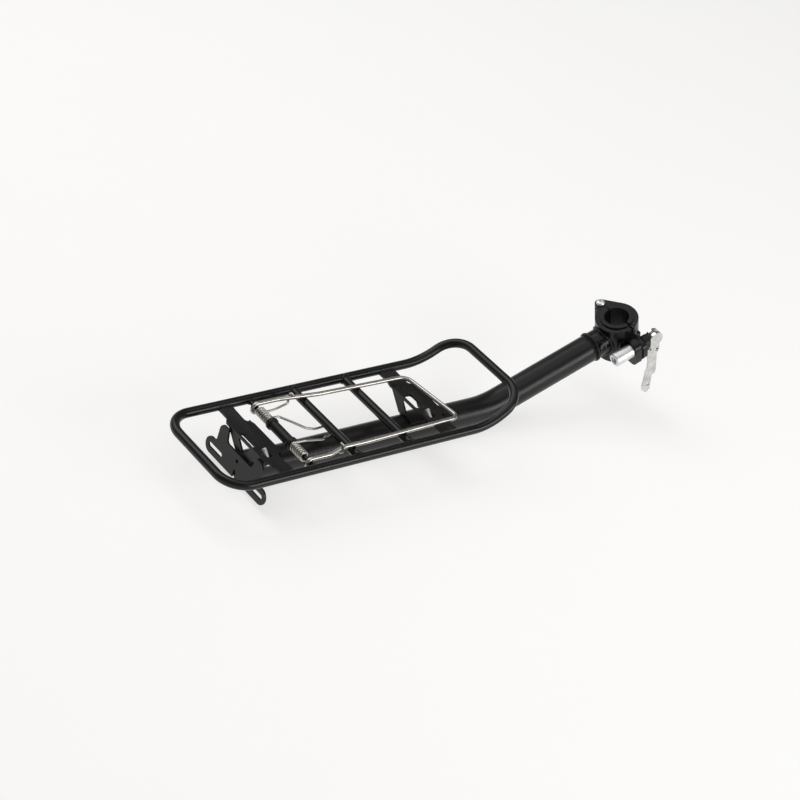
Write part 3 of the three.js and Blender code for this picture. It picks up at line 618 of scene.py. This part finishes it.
def make_springs():
    tip_z = -CROSSBAR_RADIUS - SPRING_WIRE - 0.1
    tip_x = platform_x("crossbar_rear") + 3
    legs = {
        "left": (1, 41.4, [
            (tip_x, 2.5, tip_z, 0),
            (AXLE_X + 44, 1.8, tip_z, 10),
            (AXLE_X + 34, 4, tip_z + 1.8, 10),
            (AXLE_X + 21, 12.5, 0.6, 14),
            (AXLE_X + 10, COIL_INNER_Y, 3.6, 6),
        ]),
        "right": (-1, -47.9, [
            (tip_x, -9, tip_z, 0),
            (AXLE_X + 47, -13, tip_z, 6),
            (AXLE_X + 38, -20, tip_z + 4, 8),
            (AXLE_X + 14, -COIL_INNER_Y, 3.2, 20),
        ]),
    }
    for word, (side, arm_y, leg) in legs.items():
        points = divided(spring_line(side, leg, arm_y), 3 * MM)
        spring = sweep(f"spring_{word}", points, SPRING_WIRE, sides=14)
        place_piece(spring, None, "stainless", f"clip_spring_{word}")
        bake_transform(spring)


# ---- carried-over CAD nodes: each gets its material and softened edges ----
EDGE_WIDTHS = {
    "rear_bracket": 0.5,
    "front_bracket": 0.5,
    "rear_saddle": 0.4,
    "front_saddle": 0.4,
    "rear_bracket_bolt": 0.4,
    "front_bracket_bolt": 0.4,
    "beam_plug": 0.4,
    "reflector_plate": 0.5,
    "clamp_body": 0.8,
    "clamp_jaw": 0.8,
    "liner_fixed": 0.35,
    "liner_jaw": 0.35,
    "hinge_bolt": 0.25,
    "socket_screw": 0.3,
    "skewer": 0.3,
    "adjusting_nut": 0.45,
    "cam_washer": 0.4,
    "cam_pin": 0.3,
    "cam_lever": 0.3,
}


def dress_nodes():
    slots = {part["node"]: part["material_slot"] for part in frame["record"]["subparts"]}
    for name, width in EDGE_WIDTHS.items():
        node = frame["nodes"][name]
        node.data.materials.clear()
        node.data.materials.append(MATERIALS[slots[name]])
        crisp(node, width, 3 if width > 0.4 else 2)


# ---- stage ----
FLOOR_Z = cad_low.z - 0.0002
FLOOR_HALF = 12


def make_floor():
    corners = [
        (x * FLOOR_HALF, y * FLOOR_HALF, FLOOR_Z) for x, y in ((-1, -1), (1, -1), (1, 1), (-1, 1))
    ]
    floor = new_object("floor", corners, [(0, 1, 2, 3)])
    material, nodes, links, shader = node_tree("paper_floor")
    place = scaled_place(nodes, links, (1, 1, 1))
    cloud = noise_of(nodes, links, place, 3, 4)
    base = mixed(nodes, links, cloud, (0.4, 0.398, 0.394), (0.42, 0.418, 0.415))
    links.new(base, shader.inputs["Base Color"])
    shader.inputs["Emission Color"].default_value = (1, 0.993, 0.98, 1)
    shader.inputs["Emission Strength"].default_value = 0.63
    shader.inputs["Roughness"].default_value = 0.85
    shader.inputs["Specular IOR Level"].default_value = 0.2
    floor.data.materials.append(material)


def make_world():
    world = bpy.data.worlds.new("studio")
    bpy.context.scene.world = world
    world.use_nodes = True
    nodes, links = world.node_tree.nodes, world.node_tree.links
    background = nodes["Background"]
    place = nodes.new("ShaderNodeTexCoord")
    split = nodes.new("ShaderNodeSeparateXYZ")
    ramp = nodes.new("ShaderNodeValToRGB")
    links.new(place.outputs["Generated"], split.inputs["Vector"])
    links.new(split.outputs["Z"], ramp.inputs["Fac"])
    links.new(ramp.outputs["Color"], background.inputs["Color"])
    ramp.color_ramp.elements[0].position = 0.0
    ramp.color_ramp.elements[0].color = (0.5, 0.495, 0.49, 1)
    ramp.color_ramp.elements[1].position = 0.9
    ramp.color_ramp.elements[1].color = (0.12, 0.12, 0.122, 1)
    background.inputs["Strength"].default_value = 0.7


def make_light(name, position, target, size, watts):
    data = bpy.data.lights.new(name, "AREA")
    data.shape = "RECTANGLE"
    data.size, data.size_y = size
    data.energy = watts
    light = bpy.data.objects.new(name, data)
    light.location = position
    light.rotation_euler = (Vector(target) - Vector(position)).to_track_quat("-Z", "Y").to_euler()
    bpy.context.scene.collection.objects.link(light)


def make_lights():
    """Three soft boxes: behind to the left, low in front to the right, and overhead."""
    centre = (cad_low + cad_high) / 2
    make_light("key", centre + Vector((-0.6, 1.9, 2.3)), centre, (2.4, 2.4), 36)
    make_light("front", centre + Vector((0.9, -2.2, 0.8)), centre, (2.2, 0.9), 34)
    make_light("top", centre + Vector((0.1, -0.1, 2.6)), centre, (3.0, 2.6), 22)


# the camera's place in metres, and the way its right, up and forward sides point
CAMERA_PLACE = (-1.68443, -1.3581, 1.22137)
CAMERA_RIGHT = (0.7784504, -0.58517048, 0.22713539)
CAMERA_UP = (0.18269266, 0.55739836, 0.80989534)
CAMERA_FORWARD = (0.60053174, 0.58896738, -0.54081333)


def make_camera():
    data = bpy.data.cameras.new("camera")
    data.lens = 100.8
    data.sensor_width = 36
    data.clip_end = 50
    camera = bpy.data.objects.new("camera", data)
    sides = (Vector(CAMERA_RIGHT), Vector(CAMERA_UP), -Vector(CAMERA_FORWARD))
    turn = Matrix(sides).transposed().to_4x4()
    camera.matrix_world = Matrix.Translation(CAMERA_PLACE) @ turn
    bpy.context.scene.collection.objects.link(camera)
    bpy.context.scene.camera = camera


make_camera()
make_loop()
make_cross_rod("crossbar_a", "crossbar_rear", CROSSBAR_RADIUS)
make_cross_rod("crossbar_b", "crossbar_front", CROSSBAR_RADIUS)
make_cross_rod("axle", "clip_axle", AXLE_RADIUS)
make_bracket_welds("rear")
make_bracket_welds("front")
make_beam()
make_sleeve()
make_clip()
make_springs()
dress_nodes()
make_floor()
make_world()
make_lights()
bpy.context.scene.view_settings.view_transform = "Standard"
